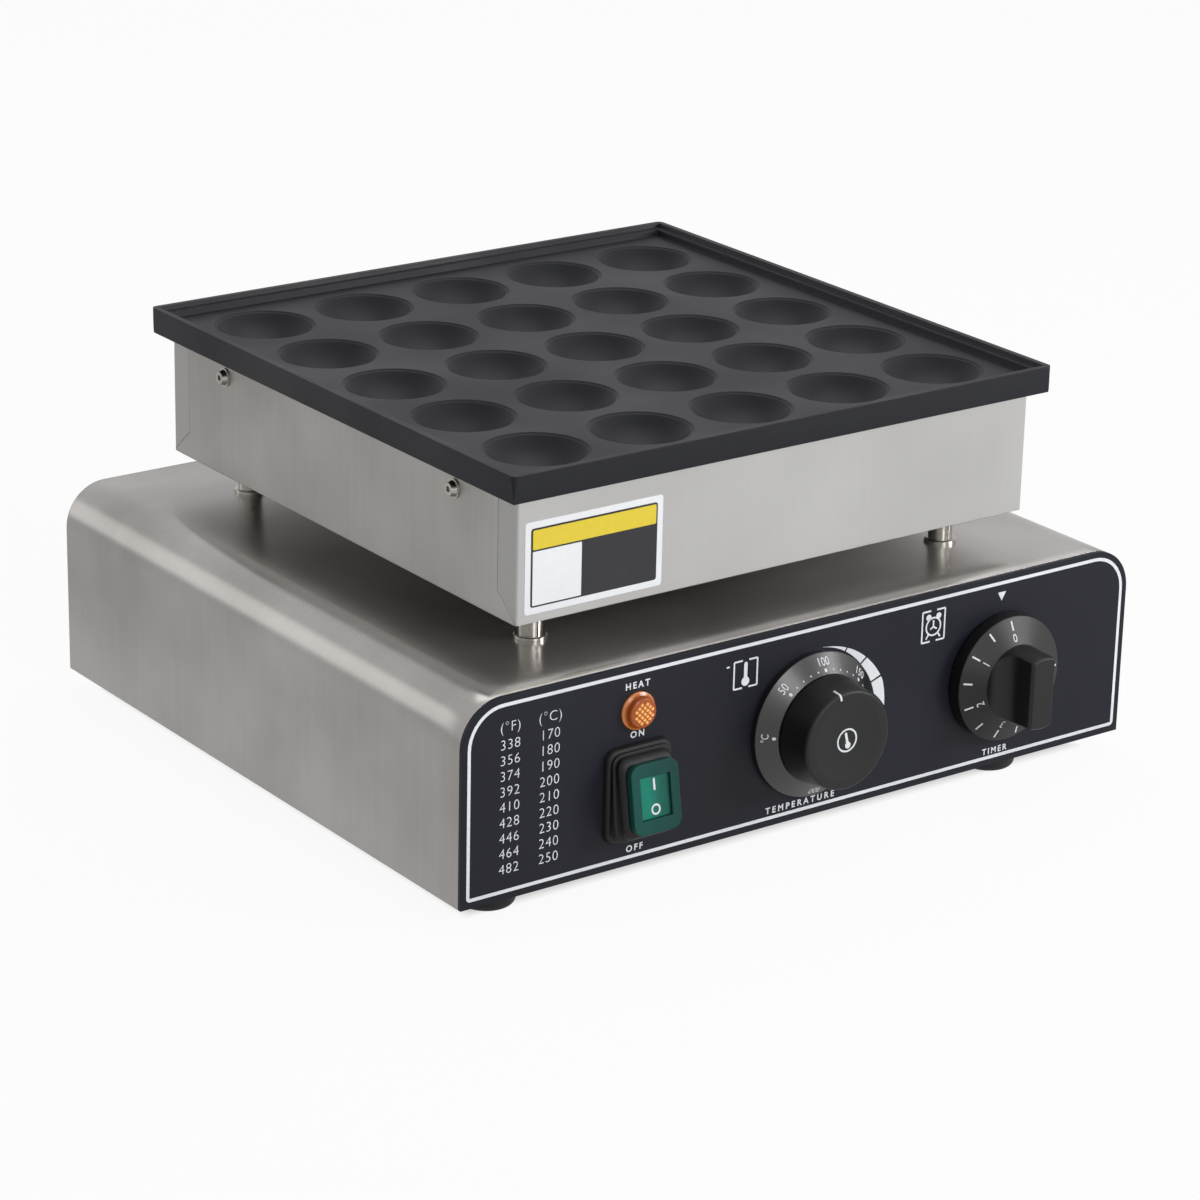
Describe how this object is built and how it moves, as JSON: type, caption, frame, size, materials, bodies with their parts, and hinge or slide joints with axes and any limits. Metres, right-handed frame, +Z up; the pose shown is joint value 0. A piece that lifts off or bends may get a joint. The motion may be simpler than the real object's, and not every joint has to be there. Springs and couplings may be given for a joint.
{
  "type": "mini pancake maker",
  "caption": "Countertop electric griddle for mini pancakes: cupped cast plate on a steel bake box, on a base with a rocker switch, temperature knob and timer.",
  "frame": {"origin": "on the table, under the middle of the object's outline", "axes": "+Z up, -Y out of the control panel, +X to the right as seen from the front"},
  "size_m": [0.375, 0.393, 0.191],
  "materials": {
    "stainless": "brushed stainless sheet",
    "zinc_sheet": "galvanised sheet",
    "black_panel": "satin black powder coat with white print",
    "nonstick": "matt black non-stick coat on cast aluminium",
    "steel_hardware": "zinc plated",
    "heater_tube": "heat-tinted steel",
    "copper": "drawn copper",
    "brass": "turned",
    "mineral_wool": "fibrous slab",
    "bright_foil": "bright rolled",
    "black_rubber": "matt moulded",
    "black_plastic": "fine moulded texture",
    "ivory_plastic": "moulded",
    "green_frame": "translucent green",
    "green_rocker": "lit green",
    "amber_lens": "translucent amber",
    "white_silicone": "silicone sleeve",
    "white_print": "screen print",
    "label_vinyl": "plain vinyl plate",
    "red_wire": "wire sleeve"
  },
  "bodies": {
    "casing": {"base_shell": "stainless", "front_panel": "black_panel", "rear_panel": "stainless", "bottom_plate": "zinc_sheet", "bottom_screws": "steel_hardware", "rubber_feet": "black_rubber", "foot_screws": "steel_hardware", "foot_nuts": "steel_hardware", "post_tubes": "stainless", "post_washers": "steel_hardware", "post_rods": "steel_hardware", "post_nuts": "steel_hardware", "bake_box_tray": "stainless", "bake_box_front": "stainless", "bake_box_rear": "stainless", "griddle_plate": "nonstick", "plate_screws": "steel_hardware", "plate_washers": "steel_hardware", "heating_element": "heater_tube", "clamp_bars": "zinc_sheet", "clamp_screws": "steel_hardware", "temperature_probe": "copper", "probe_clip": "zinc_sheet", "probe_screw": "steel_hardware", "insulation_pad": "mineral_wool", "heat_reflector": "bright_foil", "heater_leads": "white_silicone", "switch_body": "black_plastic", "switch_boot": "black_rubber", "lamp_lens": "amber_lens", "lamp_holder": "ivory_plastic", "dial_ring": "black_plastic", "thermostat_body": "zinc_sheet", "timer_body": "ivory_plastic", "terminal_block": "ivory_plastic", "earth_stud": "brass", "cable_gland": "black_plastic", "gland_nut": "black_plastic", "panel_wiring": "red_wire"},
    "switch_rocker": {"rocker": "green_rocker", "rocker_frame": "green_frame"},
    "heat_control": {"temperature_knob": "black_plastic", "thermostat_shaft": "steel_hardware"},
    "timer_control": {"timer_knob": "black_plastic", "timer_shaft": "steel_hardware"}
  },
  "joints": [
    {"name": "rocker_switch", "type": "hinge", "parent": "casing", "child": "switch_rocker", "pos_m": [-0.0966, -0.1695, 0.045], "axis": [1, 0, 0], "range_deg": [0, 19]},
    {"name": "temperature_turn", "type": "hinge", "parent": "casing", "child": "heat_control", "pos_m": [0, -0.1655, 0.055], "axis": [0, 1, 0], "range_deg": [-76.5, 193.5]},
    {"name": "timer_turn", "type": "hinge", "parent": "casing", "child": "timer_control", "pos_m": [0.11, -0.1655, 0.055], "axis": [0, 1, 0], "range_deg": [0, 270]}
  ]
}
